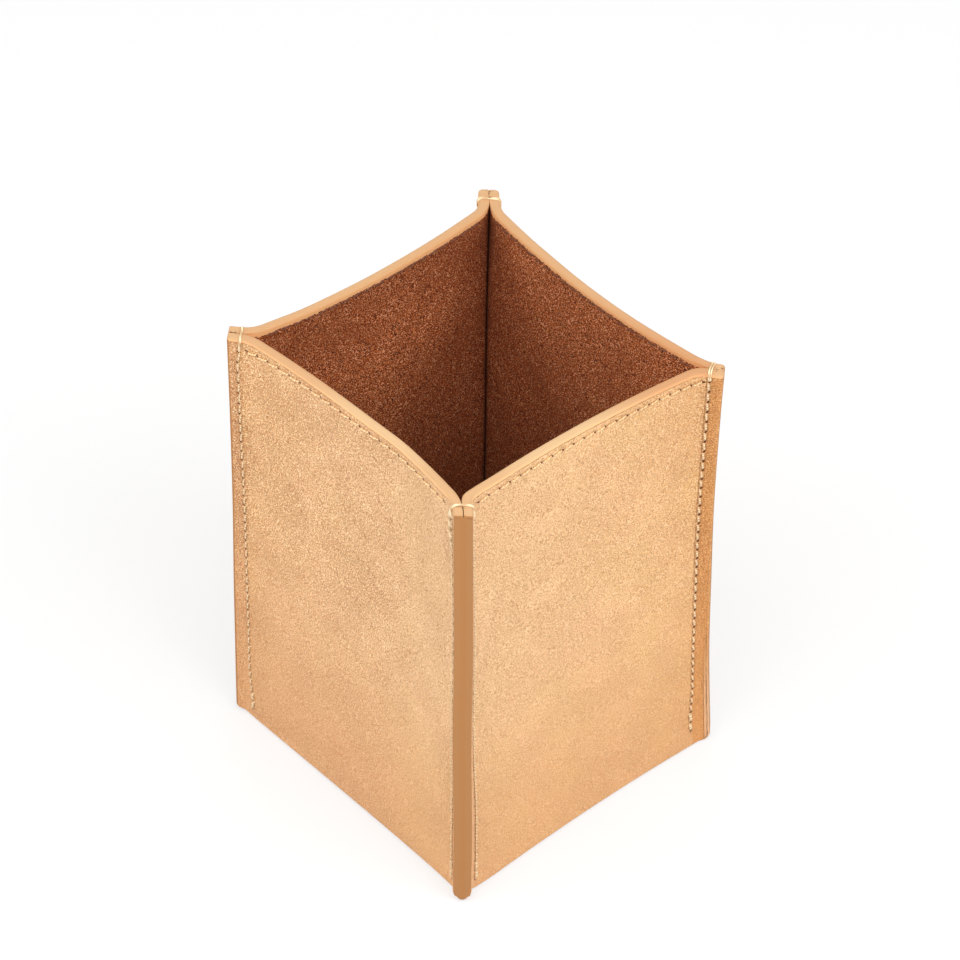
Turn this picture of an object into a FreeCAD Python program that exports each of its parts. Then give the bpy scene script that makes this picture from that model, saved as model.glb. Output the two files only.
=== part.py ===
"""Leather pen cup: a folded leather shell, lined with suede and sewn at its four corners.

Millimetres and degrees. +Z is up, the cup stands on z = 0, and the origin is the middle of its base.
The front wall faces -Y. Neighbouring walls are pinched back to back along a seam at each corner, so
every wall runs, seen from above, from a straight flange through a bend into a shallow inward bow.
"""
import FreeCAD, Part
import math
import os

import Sketcher
from FreeCAD import Placement, Rotation, Vector

SIZES = [
    ("width", 76, "seam tip to seam tip across the rim, left to right"),
    ("depth", 80, "seam tip to seam tip across the rim, front to back"),
    ("height", 117, "base to rim"),
    ("foot_spread", 1, "how much further out a seam tip stands at the base than at the rim"),
    ("leather_thickness", 1.5, "shell"),
    ("suede_thickness", 0.9, "wall linings and base lining"),
    ("board_thickness", 1.5, "stiffener in the base"),
    ("fit_gap", 0.2, "clearance round the board and the base lining"),
    ("rim_pinch", 3.2, "straight run of a seam flange, at the rim"),
    ("foot_pinch", 1, "straight run of a seam flange, at the base"),
    ("rim_bend", 8, "outer radius between flange and wall, at the rim"),
    ("foot_bend", 2.5, "outer radius between flange and wall, at the base"),
    ("rim_bow", 6.5, "slope of the wall's bow where it meets the bend, at the rim, in degrees"),
    ("foot_bow", 2.7, "slope of the wall's bow where it meets the bend, at the base, in degrees"),
    ("fold_radius", 1.2, "rounding of the fold between base and wall"),
    ("thread_diameter", 0.6, "sewing thread"),
    ("stitch_pitch", 3.175, "hole to hole, 8 to the inch"),
    ("hole_length", 0.6, "part of the pitch where the thread is down in its hole"),
    ("hem_drop", 1.9, "rim to the machine row under it"),
    ("seam_margin", 3.2, "edge of the seam flange to its row of stitches"),
    ("seam_start", 3.3, "rim to the first hole of a corner seam"),
    ("seam_end", 4, "base to the last hole of a corner seam"),
]

MITRE = 45  # degrees between a wall and its seam flanges
WALLS = {"front": 0, "right": 90, "back": 180, "left": 270}  # turn of each wall about +Z
CORNERS = {"front_right": "front", "back_right": "right", "back_left": "back", "front_left": "left"}
SEATING = 0.01  # a stitch lies this far off the face it is pulled down to

doc = FreeCAD.newDocument("pen_cup")


# ---------------------------------------------------------------- driving sizes

def make_sheet():
    sheet = doc.addObject("Spreadsheet::Sheet", "Sizes")
    for row, (alias, value, meaning) in enumerate(SIZES, start=1):
        sheet.set(f"A{row}", meaning)
        sheet.set(f"B{row}", str(value))
        sheet.setAlias(f"B{row}", alias)
    doc.recompute()
    return sheet


sheet = make_sheet()


def size(alias):
    return float(sheet.get(alias))


def tip(wall, level):
    """Expressions for a seam tip of a wall: how far along the wall, and how far out from the axis."""
    spread = " + Sizes.foot_spread" if level == "foot" else ""
    along, out = ("width", "depth") if wall in ("front", "back") else ("depth", "width")
    return f"(Sizes.{along} / 2{spread})", f"(Sizes.{out} / 2{spread})"


def tip_values(wall, level):
    spread = size("foot_spread") if level == "foot" else 0
    along, out = ("width", "depth") if wall in ("front", "back") else ("depth", "width")
    return size(along) / 2 + spread, size(out) / 2 + spread


WALL_THICKNESS = "(Sizes.leather_thickness + Sizes.suede_thickness)"


def middle_of_wall(wall, level):
    """Expression for the distance from the cup's axis to the outer face at the middle of a wall."""
    along, out = tip(wall, level)
    pinch, bend, bow = (f"Sizes.{level}_{name}" for name in ("pinch", "bend", "bow"))
    slant = f"sin({MITRE} deg)"
    bend_along = f"({along} - ({WALL_THICKNESS} + {bend} + {pinch}) * {slant})"
    bend_out = f"({out} + ({WALL_THICKNESS} + {bend} - {pinch}) * {slant})"
    return f"({bend_out} - {bend} - {bend_along} * tan({bow} * 0.5 deg))"


# ---------------------------------------------------------------- the line that a wall follows

class Outline:
    """One face of a wall seen from above, at one level, for a wall that faces -Y.

    It runs from the middle of the wall to the right: a bow, a bend and a straight flange.
    skin is how deep the face lies under the wall's outer face.
    """

    def __init__(self, wall, level, skin):
        along, out = tip_values(wall, level)
        thickness = size("leather_thickness") + size("suede_thickness")
        slant = math.sin(math.radians(MITRE))
        self.pinch = size(f"{level}_pinch")
        self.bow_angle = math.radians(size(f"{level}_bow"))
        bend = size(f"{level}_bend")
        self.bend_centre = Vector(
            along - (thickness + bend + self.pinch) * slant,
            -out - (thickness + bend - self.pinch) * slant,
            0,
        )
        self.bend_radius = bend + skin
        span = self.bend_centre.x / math.sin(self.bow_angle)
        self.bow_radius = span + self.bend_radius
        self.bow_centre = Vector(0, self.bend_centre.y - span * math.cos(self.bow_angle), 0)

    def runs(self):
        """Lengths of the bow, the bend and the flange."""
        turn = math.radians(MITRE) - self.bow_angle
        return self.bow_radius * self.bow_angle, self.bend_radius * turn, self.pinch

    def at(self, run, share):
        """Point and outward direction at a share of one run: 0 is the bow, 1 the bend, 2 the flange."""
        mitre = math.radians(MITRE)
        if run == 0:
            slope = share * self.bow_angle
            centre, radius = self.bow_centre, self.bow_radius
        else:
            slope = mitre if run == 2 else self.bow_angle + share * (mitre - self.bow_angle)
            centre, radius = self.bend_centre, self.bend_radius
        inward = Vector(math.sin(slope), math.cos(slope), 0)
        point = centre + inward * radius
        if run == 2:
            point += Vector(math.cos(mitre), -math.sin(mitre), 0) * (share * self.pinch)
        return point, inward * -1


class Face:
    """One face of a wall, ruled between its outlines at the foot and at the rim."""

    def __init__(self, wall, skin):
        self.foot = Outline(wall, "foot", skin)
        self.rim = Outline(wall, "rim", skin)
        self.turn = Rotation(Vector(0, 0, 1), WALLS[wall])
        self.height = size("height")

    def runs(self, z):
        rise = z / self.height
        return [a + (b - a) * rise for a, b in zip(self.foot.runs(), self.rim.runs())]

    def half_length(self, z):
        return sum(self.runs(z))

    def at(self, distance, z):
        """Point and outward direction at a distance along the face from the middle of the wall."""
        run, left = 0, abs(distance)
        lengths = self.runs(z)
        while run < 2 and left > lengths[run]:
            left -= lengths[run]
            run += 1
        share = left / lengths[run]
        low, low_out = self.foot.at(run, share)
        high, high_out = self.rim.at(run, share)
        rise = z / self.height
        point = low + (high - low) * rise
        out = (low_out + (high_out - low_out) * rise).normalize()
        if distance < 0:
            point.x, out.x = -point.x, -out.x
        point.z = z
        return self.turn.multVec(point), self.turn.multVec(out)


# ---------------------------------------------------------------- sketches

def base_plane(body):
    return next(o for o in body.Origin.OriginFeatures if o.Role == "XY_Plane")


def new_sketch(body, name, turn=0, level="0"):
    """Sketch flat on the body's base plane, turned about +Z and raised to a level."""
    sketch = body.newObject("Sketcher::SketchObject", name)
    sketch.AttachmentSupport = (base_plane(body), [""])
    sketch.MapMode = "FlatFace"
    sketch.AttachmentOffset = Placement(Vector(0, 0, 0), Rotation(Vector(0, 0, 1), turn))
    sketch.setExpression("AttachmentOffset.Base.z", level)
    return sketch


def bind(sketch, kind, where, value, expression):
    """Adds a dimension to a sketch and ties it to the sizes."""
    index = sketch.addConstraint(Sketcher.Constraint(kind, *where, value))
    sketch.setExpression(f"Constraints[{index}]", expression)


def outline_arc(centre, radius, start, end):
    """Arc from slope start to slope end, in radians, where slope 0 is straight inward."""
    circle = Part.Circle(centre, Vector(0, 0, 1), radius)
    return Part.ArcOfCircle(circle, math.pi / 2 - end, math.pi / 2 - start)


def layer_sketch(body, wall, level, outer_skin, inner_skin):
    """Section of one layer of a wall, between two depths under the wall's outer face.

    outer_skin and inner_skin are expressions. The outlines give every element its first place, and
    the dimensions hold it there: seam tip, flange, bend radius and bow slope.
    """
    outer_value, inner_value = (sheet_value(skin) for skin in (outer_skin, inner_skin))
    outer = Outline(wall, level, outer_value)
    inner = Outline(wall, level, inner_value)
    lift = "Sizes.height" if level == "rim" else "0"
    sketch = new_sketch(body, f"{wall}_{level}_section", WALLS[wall], lift)

    def mirror(point):
        return Vector(-point.x, point.y, 0)

    def half(line):
        return [line.at(2, 1)[0], line.at(2, 0)[0]]

    mitre, bow = math.radians(MITRE), outer.bow_angle
    (tip_out, root_out), (tip_in, root_in) = half(outer), half(inner)
    elements = [
        Part.LineSegment(tip_out, root_out),
        outline_arc(outer.bend_centre, outer.bend_radius, bow, mitre),
        outline_arc(outer.bow_centre, outer.bow_radius, -bow, bow),
        outline_arc(mirror(outer.bend_centre), outer.bend_radius, -mitre, -bow),
        Part.LineSegment(mirror(root_out), mirror(tip_out)),
        Part.LineSegment(mirror(tip_out), mirror(tip_in)),
        Part.LineSegment(mirror(tip_in), mirror(root_in)),
        outline_arc(mirror(inner.bend_centre), inner.bend_radius, -mitre, -bow),
        outline_arc(inner.bow_centre, inner.bow_radius, -bow, bow),
        outline_arc(inner.bend_centre, inner.bend_radius, bow, mitre),
        Part.LineSegment(root_in, tip_in),
        Part.LineSegment(tip_in, tip_out),
    ]
    (flange_r, bend_r, bow_out, bend_l, flange_l, end_l,
     flange_in_l, bend_in_l, bow_in, bend_in_r, flange_in_r, end_r) = sketch.addGeometry(elements, False)
    start, end, centre = 1, 2, 3

    smooth = [  # an arc starts at its right end, because it runs anticlockwise
        (flange_r, end, bend_r, start),
        (bend_r, end, bow_out, start),
        (bow_out, end, bend_l, start),
        (bend_l, end, flange_l, start),
        (flange_in_l, end, bend_in_l, end),
        (bend_in_l, start, bow_in, end),
        (bow_in, start, bend_in_r, end),
        (bend_in_r, start, flange_in_r, start),
    ]
    corners = [
        (flange_l, end, end_l, start),
        (end_l, end, flange_in_l, start),
        (flange_in_r, end, end_r, start),
        (end_r, end, flange_r, start),
    ]
    shared_centres = [(bend_r, bend_in_r), (bend_l, bend_in_l), (bow_out, bow_in)]
    for pair in smooth:
        sketch.addConstraint(Sketcher.Constraint("Tangent", *pair))
    for pair in corners:
        sketch.addConstraint(Sketcher.Constraint("Coincident", *pair))
    for one, other in shared_centres:
        sketch.addConstraint(Sketcher.Constraint("Coincident", one, centre, other, centre))

    meeting = outer.at(0, 1)[0]
    radius_line = sketch.addGeometry(Part.LineSegment(outer.bow_centre, meeting), True)
    sketch.addConstraint([
        Sketcher.Constraint("Coincident", radius_line, start, bow_out, centre),
        Sketcher.Constraint("Coincident", radius_line, end, bend_r, end),
        Sketcher.Constraint("PointOnObject", bow_out, centre, -2),  # the sketch's own upright axis
        Sketcher.Constraint("Horizontal", bend_l, centre, bend_r, centre),
        Sketcher.Constraint("Equal", bend_l, bend_r),
        Sketcher.Constraint("Equal", flange_l, flange_r),
        Sketcher.Constraint("Parallel", flange_in_r, flange_r),
        Sketcher.Constraint("Parallel", flange_in_l, flange_l),
        Sketcher.Constraint("Perpendicular", end_r, flange_r),
        Sketcher.Constraint("Perpendicular", end_l, flange_l),
        Sketcher.Constraint("Perpendicular", flange_l, flange_r),
        Sketcher.Constraint("Angle", flange_r, math.pi - mitre),
    ])

    along, out = tip(wall, level)
    offset = f"({WALL_THICKNESS} - {outer_skin}) * sin({MITRE} deg)"
    bind(sketch, "DistanceX", (-1, 1, flange_r, start), tip_out.x, f"{along} - {offset}")
    bind(sketch, "DistanceY", (-1, 1, flange_r, start), tip_out.y, f"-({out} + {offset})")
    bind(sketch, "Distance", (flange_r,), outer.pinch, f"Sizes.{level}_pinch")
    bind(sketch, "Radius", (bend_r,), outer.bend_radius, f"Sizes.{level}_bend + {outer_skin}")
    bind(sketch, "Radius", (bend_in_r,), inner.bend_radius, f"Sizes.{level}_bend + {inner_skin}")
    bind(sketch, "Angle", (radius_line,), math.pi / 2 - bow, f"(90 - Sizes.{level}_bow) * 1 deg")
    return sketch


def sheet_value(expression):
    """Value of a sum of sizes, such as 'Sizes.a + Sizes.b'."""
    terms = expression.strip("()").split(" + ")
    return sum(0 if term == "0" else size(term.removeprefix("Sizes.")) for term in terms)


def rectangle_sketch(body, name, half_x, half_y, level):
    """Rectangle about the cup's axis, given by expressions for its half sizes."""
    sketch = new_sketch(body, name, 0, level)
    x, y = size("width") / 2, size("depth") / 2  # a first place, which the dimensions correct
    corners = [Vector(*corner, 0) for corner in ((-x, -y), (x, -y), (x, y), (-x, y))]
    sides = sketch.addGeometry(
        [Part.LineSegment(corners[i], corners[(i + 1) % 4]) for i in range(4)], False
    )
    for i in range(4):
        sketch.addConstraint(Sketcher.Constraint("Coincident", sides[i], 2, sides[(i + 1) % 4], 1))
        sketch.addConstraint(Sketcher.Constraint("Horizontal" if i % 2 == 0 else "Vertical", sides[i]))
    sketch.addConstraint(Sketcher.Constraint("Symmetric", sides[0], 1, sides[1], 2, -1, 1))
    bind(sketch, "DistanceX", (-1, 1, sides[1], 2), x, half_x)
    bind(sketch, "DistanceY", (-1, 1, sides[1], 2), y, half_y)
    return sketch


# ---------------------------------------------------------------- leather, suede and board

def new_body(label):
    body = doc.addObject("PartDesign::Body", label)
    body.Label = label
    return body


def add_pad(body, sketch, thickness):
    pad = body.newObject("PartDesign::Pad", f"{sketch.Name}_pad")
    pad.Profile = sketch
    pad.setExpression("Length", thickness)
    return pad


def add_layer(body, wall, outer_skin, inner_skin):
    """One layer of a wall, ruled from its section at the base to its section at the rim."""
    foot = layer_sketch(body, wall, "foot", outer_skin, inner_skin)
    rim = layer_sketch(body, wall, "rim", outer_skin, inner_skin)
    loft = body.newObject("PartDesign::AdditiveLoft", f"{wall}_layer")
    loft.Profile = foot
    loft.Sections = [rim]
    loft.Ruled = True
    return loft


def base_half_sizes():
    """Expressions for the flat of the leather base. It ends inside the thickness of the walls."""
    inside = "Sizes.leather_thickness / 2"
    return [f"{middle_of_wall(wall, 'foot')} - {inside}" for wall in ("right", "front")]


def make_shell():
    """Cross-shaped leather blank: its middle is the base, and its four arms fold up into the walls."""
    body = new_body("leather_shell")
    base = rectangle_sketch(body, "base_outline", *base_half_sizes(), "0")
    add_pad(body, base, "Sizes.leather_thickness")
    for wall in WALLS:
        last = add_layer(body, wall, "0", "Sizes.leather_thickness")
    doc.recompute()

    lowest = [
        (edge.Length, f"Edge{i}")
        for i, edge in enumerate(last.Shape.Edges, start=1)
        if edge.BoundBox.ZMax < 1e-6
    ]
    folds = [name for _, name in sorted(lowest)[-len(WALLS):]]
    fillet = body.newObject("PartDesign::Fillet", "folds")
    fillet.Base = (last, folds)
    fillet.setExpression("Radius", "min(Sizes.fold_radius; 0.9 * Sizes.leather_thickness)")
    return body


def make_wall_lining(wall):
    """Suede sheet on the inside of one wall. It stands on the leather base, and its two flanges
    reach down past the base's corners."""
    body = new_body(f"wall_lining_{wall}")
    add_layer(body, wall, "Sizes.leather_thickness", WALL_THICKNESS)
    below = rectangle_sketch(body, "base_outline", *base_half_sizes(), "0")
    cut = body.newObject("PartDesign::Pocket", "base_cut")
    cut.Profile = below
    cut.Reversed = True
    cut.setExpression("Length", "Sizes.leather_thickness")
    return body


def make_base_sheet(label, level, thickness):
    """Flat sheet that fits inside the wall linings, on what lies under it."""
    body = new_body(label)
    halves = []
    for wall in ("right", "front"):
        lean = f"({middle_of_wall(wall, 'foot')} - {middle_of_wall(wall, 'rim')}) / Sizes.height"
        top = f"({level} + {thickness})"
        inside = f"{middle_of_wall(wall, 'foot')} - {WALL_THICKNESS}"
        halves.append(f"{inside} - {lean} * {top} - Sizes.fit_gap")
    outline = rectangle_sketch(body, "outline", halves[0], halves[1], level)
    add_pad(body, outline, thickness)
    return body


# ---------------------------------------------------------------- thread

def bar(start, end):
    """Straight length of thread from one point to another."""
    way = end - start
    return Part.makeCylinder(size("thread_diameter") / 2, way.Length, start, way)


def stitch(start, end):
    """Thread between two holes, with its ends left out where it dips into them."""
    way = end - start
    trim = way * (size("hole_length") / 2 / way.Length)
    return bar(start + trim, end - trim)


def on_face(face, distance, z, side=1):
    """Middle of a thread that lies on a face. side is 1 outside the cup and -1 inside it."""
    point, out = face.at(distance, z)
    return point + out * (side * (size("thread_diameter") / 2 + SEATING))


def thread_group(label, solids):
    group = doc.addObject("Part::Feature", label)
    group.Label = label
    group.Shape = Part.makeCompound(solids)
    group.Placement = Placement()
    return group


def hem_row(face, reach):
    """Hole distances of a machine row along a face, evenly about the middle of the wall."""
    pitch = size("stitch_pitch")
    count = int(2 * reach / pitch)
    return [(i - count / 2) * pitch for i in range(count + 1)]


def make_hem(wall):
    """Machine row under the rim: the needle thread outside and the bobbin thread on the suede."""
    z = size("height") - size("hem_drop")
    outside = Face(wall, 0)
    inside = Face(wall, size("leather_thickness") + size("suede_thickness"))
    reach = outside.half_length(z) - size("seam_margin") - size("thread_diameter")
    holes = [on_face(outside, hole, z) for hole in hem_row(outside, reach)]
    thread_group(f"hem_thread_{wall}", [stitch(a, b) for a, b in zip(holes, holes[1:])])

    bow = inside.runs(z)[0]
    holes = [on_face(inside, hole, z, side=-1) for hole in hem_row(inside, bow)]
    thread_group(f"hem_bobbin_{wall}", [stitch(a, b) for a, b in zip(holes, holes[1:])])


def make_seam(corner, wall):
    """Thread of one corner seam: a row on each outer face, and a loop over the rim."""
    names = list(WALLS)
    next_wall = names[(names.index(wall) + 1) % len(names)]
    faces = ((Face(wall, 0), 1), (Face(next_wall, 0), -1))
    pitch, height = size("stitch_pitch"), size("height")
    top = height - size("seam_start")
    count = int((top - size("seam_end")) / pitch)
    levels = [top - i * pitch for i in range(count + 1)]

    def hole(face, side, z):
        return on_face(face, side * (face.half_length(z) - size("seam_margin")), z)

    solids = []
    for face, side in faces:
        holes = [hole(face, side, z) for z in levels]
        solids += [stitch(a, b) for a, b in zip(holes, holes[1:])]

    over = height + size("thread_diameter") / 2 + SEATING
    loop = [hole(*faces[0], top), hole(*faces[0], height), hole(*faces[1], height), hole(*faces[1], top)]
    loop[1].z = loop[2].z = over
    ball = [Part.makeSphere(size("thread_diameter") / 2, point) for point in loop[1:3]]
    runs = [bar(a, b) for a, b in zip(loop, loop[1:])]
    solids.append(runs[0].fuse(runs[1:] + ball))
    thread_group(f"seam_thread_{corner}", solids)


# ---------------------------------------------------------------- build, check and write

make_shell()
for name in WALLS:
    make_wall_lining(name)
make_base_sheet("base_board", "Sizes.leather_thickness", "Sizes.board_thickness")
make_base_sheet("base_lining", "(Sizes.leather_thickness + Sizes.board_thickness)", "Sizes.suede_thickness")
for name in WALLS:
    make_hem(name)
for name, first_wall in CORNERS.items():
    make_seam(name, first_wall)
doc.recompute()

for item in doc.Objects:
    faults = {"Invalid", "Error"} & set(item.State)
    if faults:
        raise RuntimeError(f"{item.Label} is {', '.join(faults)}")

parts = [o for o in doc.Objects if o.TypeId in ("PartDesign::Body", "Part::Feature")]
for part in parts:
    if part.Shape.isNull() or not part.Shape.isValid() or not part.Shape.Solids:
        raise RuntimeError(f"{part.Label} has no valid solid")

os.makedirs("parts", exist_ok=True)
for part in parts:
    part.Shape.exportStep(f"parts/{part.Label}.step")
    print(part.Label, len(part.Shape.Solids), round(part.Shape.Volume, 1))
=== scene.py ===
"""Leather pen cup: folded leather shell, suede linings, machine-sewn rim and hand-sewn corners.

Sizes in the functions are millimetres; meshes are in metres. +Z is up, the front wall faces -Y.
"""

import random
from collections import namedtuple
from contextlib import contextmanager
from math import copysign, cos, exp, hypot, radians, sin

import bmesh
import bpy
from mathutils import Matrix, Vector, noise


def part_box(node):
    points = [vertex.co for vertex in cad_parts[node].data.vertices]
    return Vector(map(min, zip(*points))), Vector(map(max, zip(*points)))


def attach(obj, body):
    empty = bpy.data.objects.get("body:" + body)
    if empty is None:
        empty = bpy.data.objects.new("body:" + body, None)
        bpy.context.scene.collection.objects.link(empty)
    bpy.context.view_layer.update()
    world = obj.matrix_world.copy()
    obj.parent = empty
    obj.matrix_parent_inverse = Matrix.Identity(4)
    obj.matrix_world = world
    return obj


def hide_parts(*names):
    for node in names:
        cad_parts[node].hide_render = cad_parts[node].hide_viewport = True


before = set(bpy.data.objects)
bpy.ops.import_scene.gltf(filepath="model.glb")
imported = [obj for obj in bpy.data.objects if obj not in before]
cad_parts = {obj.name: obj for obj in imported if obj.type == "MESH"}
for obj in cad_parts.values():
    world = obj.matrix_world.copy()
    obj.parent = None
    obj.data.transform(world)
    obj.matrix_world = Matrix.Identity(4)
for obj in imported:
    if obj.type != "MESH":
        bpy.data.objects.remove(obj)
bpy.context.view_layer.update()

MM = 0.001
PER_METRE = 1000.0  # millimetres in a metre, for the plans that the materials read

# ---- sizes of the cup

HEIGHT = 117.0
LEATHER = 1.5
SUEDE = 0.9
LINING_GAP = 0.03  # left free between a lining and the leather
WALL = LEATHER + SUEDE
FOOT_SPREAD = 1.0  # seam tips stand this much further out at the base than at the rim
MITRE = radians(45)  # between a wall and its seam flanges

TURN = {"front": 0, "right": 90, "back": 180, "left": 270}
CORNERS = "front_left", "front_right", "back_right", "back_left"


def by_wall(*values):
    """Table of a value for each wall, in the order of TURN."""
    return dict(zip(TURN, values))


def by_corner(*values):
    """Table of a value for each corner, in the order of CORNERS."""
    return dict(zip(CORNERS, values))


HALF = by_wall((38, 40), (40, 38), (38, 40), (40, 38))
ENDS = by_wall(*zip(CORNERS, CORNERS[1:] + CORNERS[:1]))  # the left and right end of each wall, from outside
CORNER_PLACE = by_corner((-38, -40), (38, -40), (38, 40), (-38, 40))
PINCH = by_corner((3.6, 2.5), (2.3, 1.0), (4.6, 1.2), (2.3, 1.0))  # straight run of the flanges: rim, foot
BEND = by_corner((5.0, 2.5), (8.0, 2.5), (6.0, 2.5), (7.0, 2.5))  # outer radius from flange to wall: rim, foot
BOW = by_wall(  # slope of each wall's bow at its left and right bend: rim, foot
    ((6.5, 6.5), (1.9, 4.3)), ((6.5, 6.5), (2.7, 2.7)), ((6.5, 6.5), (2.7, 2.7)), ((6.5, 6.5), (0.6, 0.6)))
SHIFT = by_corner(  # how far sewing has pulled the walls' ends off square: rim, foot
    ((-0.40, 1.75), (-0.76, -1.96)), ((0.43, 0.15), (1.00, 1.02)),
    ((1.07, 0.06), (0.00, 0.00)), ((-0.57, 0.28), (0.00, -0.43)))
TWIST = by_corner(  # how far a seam tip leans out of its corner's diagonal: rim, foot
    ((0.92, -0.92), (-0.32, 0.27)), ((-1.0, -1.0), (0.0, 0.0)),
    ((-0.5, 0.5), (0.0, 0.0)), ((0.35, 0.35), (0.0, 0.0)))
SQUEEZE = by_corner(0.10, 0.09, 0.03, 0.02)  # how much of a seam's thickness the stitches press away
PULL = [  # where the rim has been drawn out or in: wall, distance from its middle, reach, outward
    ("back", 9, 14, -1.08),
    ("back", -30, 8, 0.40),
    ("back", 21, 5, -0.32),
    ("right", 31, 10, 0.58),
    ("right", 13, 6, 0.28),
    ("right", -13, 11, -0.54),
    ("left", 21, 9, -0.62),
    ("left", 13, 4.5, -0.38),
    ("front", -31, 3.5, -0.40),
]
SEAM_DIP = 1.4  # how far the front right seam is drawn in half-way up
WAVE_LENGTH, WAVE = 34, 0.18  # of the unevenness of the walls
FOOT_CORNER = by_corner(  # rounding of a flange's lower corner: along the flange, upwards
    (1.3, 1.3), (2.4, 2.4), (2.4, 2.2), (0.9, 1.1))
FOOT_SLANT = {"back_left": (3.3, 1.45)}  # a flange's lower edge rises to its tip: from how far in, how much
FOOT_TONGUE = (2.4, 4.2)  # rounding of the front seam's end across its two halves
FILED_UP_TO = 4.5  # the flanges' lower corners are filed below this height
FOLD = 1.2  # rounding of the fold between wall and base
TIP_ROUNDING = by_corner(  # outer and inner edge of each half of a seam flange
    (0.4, 0.0), (0.8, 0.2), (1.25, 0.55), (0.35, 0.12))
JOINT = by_corner(0.04, -0.04, -0.04, 0.09)  # half the width of the joint between two linings at the rim
PRESSED = 0.035  # how far the linings are pressed together below the rim

PITCH = 3.175
INNER_HEM_DROP = 1.75
HEM_ROW = by_wall(  # number of a machine row's hole, and its distance from the middle of the wall
    ((0, -29.7), (7, -7.98), (16, 19.1), (21, 33.6)),
    ((0, -33.0), (21, 33.0)),
    ((0, -33.0), (21, 33.0)),
    ((0, -35.1), (1, -32.2), (7, -11.3), (16, 17.9), (17, 21.2), (20, 29.7), (21, 32.3)))
HEM_LINE = by_wall(  # distance from the middle of the wall, and how far under the rim the row runs there
    ((-29.7, 2.6), (-27, 2.4), (-20, 2.45), (25, 2.5), (31, 2.75), (33.6, 2.3)),
    ((-33, 2.4), (33, 2.4)),
    ((-33, 2.4), (33, 2.4)),
    ((-35.1, 2.85), (-32, 2.75), (-28.5, 2.3), (-20, 2.2), (21, 2.25), (29.7, 2.5), (32.3, 2.55)))
SEAM_LINE = by_corner(  # height, and how far in from the seam tip the hand-sewn row runs there
    ((0, 4.0), (28, 4.1), (60, 2.95), (104, 2.5), (117, 2.9)),
    ((0, 5.2), (11, 5.1), (18, 4.4), (33, 3.9), (90, 3.2), (117, 3.1)),
    ((0, 3.8), (60, 3.4), (117, 3.2)),
    ((0, 5.0), (6, 5.0), (15, 3.9), (90, 2.4), (110, 2.2), (114, 2.7), (117, 2.9)))
SEAM_ROW = by_corner(  # number of a hand-sewn row's hole, counted downwards, and its height
    ((0, 113.4), (38, 3.4)),
    ((0, 114.95), (8, 90.9), (29, 33.3), (38, 11.8), (39, 8.4), (40, 5.56)),
    ((0, 113.7), (34, 4.0)),
    ((0, 113.4), (7, 91.8), (35, 15.06), (38, 8.7), (40, 3.3)))
HEM_THREAD = by_wall(0.16, 0.16, 0.16, 0.21)  # half its width
BOBBIN_THREAD = 0.17
HEM_INSET = 0.26, 0.30  # from a hole's middle to where a stitch leaves it, and to where the next one takes it
SEAM_THREAD = by_corner(0.22, 0.27, 0.27, 0.23)
STITCH_INSET = by_corner(0.34, 0.60, 0.55, 0.38)  # from the middle of a hole to where the thread comes up
LOOPS = {  # each loop over the rim: how far in from the seam row its two legs stand, and its thickness
    "front_right": ((-0.15, -0.80, 0.23), (0.30, -0.30, 0.23)),
    "back_right": ((0.85, 0.30, 0.22), (0.30, 0.85, 0.22)),
    "back_left": ((0.0, 0.10, 0.28),),
    "front_left": ((0.0, 0.15, 0.33),),
}

FLANGE_STEPS = (0.55, 1.0)  # shares of a flange, from the bend to the tip
BEND_STEPS, BOW_STEPS, SHEET_ROWS = 8, 24, 38

# ---- sizes of the studio, in metres and degrees

CAMERA_AZIMUTH, CAMERA_ELEVATION, CAMERA_ROLL = -41.163, 43.314, 0.568
CAMERA_DISTANCE, CAMERA_AIM = 1.1575, 0.0586  # from the height that it looks at, over the cup's middle
CAMERA_LENS = 188.8
CAMERA_SHIFT = (0.0057, 0.0638)
SOFTBOX_DISTANCE, SOFTBOX_AIM, SOFTBOX_SIZE = 1.1, 0.05, 0.8
SOFTBOXES = (  # azimuth from the camera's, elevation, power
    ("low_left_softbox", -85, 25, 3.4),
    ("left_softbox", -55, 40, 3.4),
    ("right_softbox", 55, 40, 6.6),
    ("low_right_softbox", 85, 25, 1.0),
    ("front_top_softbox", 0, 65, 7.5),
    ("back_top_softbox", 180, 55, 2.6),
)
FLOOR_SIZE, FLOOR_DROP = 6, 0.0002
FLOOR_SEEN, FLOOR_LIGHT, FLOOR_GLOW = 0.30, 0.85, 0.62  # how bright it looks, and how bright for other things
AMBIENT = 0.27  # strength of the white world as a light


# ---- the line that a wall follows

def half_outline(wall, level, side):
    """Right-hand bend and flange of a wall, from the end of the bow to the seam tip.

    side is 0 for the wall's left end and 1 for its right end; both are given as a right-hand end.
    """
    corner, low = ENDS[wall][side], int(level == "foot")
    along, out = (value + FOOT_SPREAD * low for value in HALF[wall])
    pinch, bend, bow = PINCH[corner][low], BEND[corner][low], radians(BOW[wall][low][side])
    slant = sin(MITRE)
    centre = Vector((along - (WALL + bend + pinch) * slant, -out - (WALL + bend - pinch) * slant))
    line = []
    for i in range(BEND_STEPS + 1):
        slope = bow + (MITRE - bow) * i / BEND_STEPS
        inward = Vector((sin(slope), cos(slope)))
        line.append((centre + inward * bend, inward))
    root, inward = line[-1]
    for share in FLANGE_STEPS:
        line.append((root + Vector((cos(MITRE), -sin(MITRE))) * (pinch * share), inward))
    return line, bow


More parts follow.
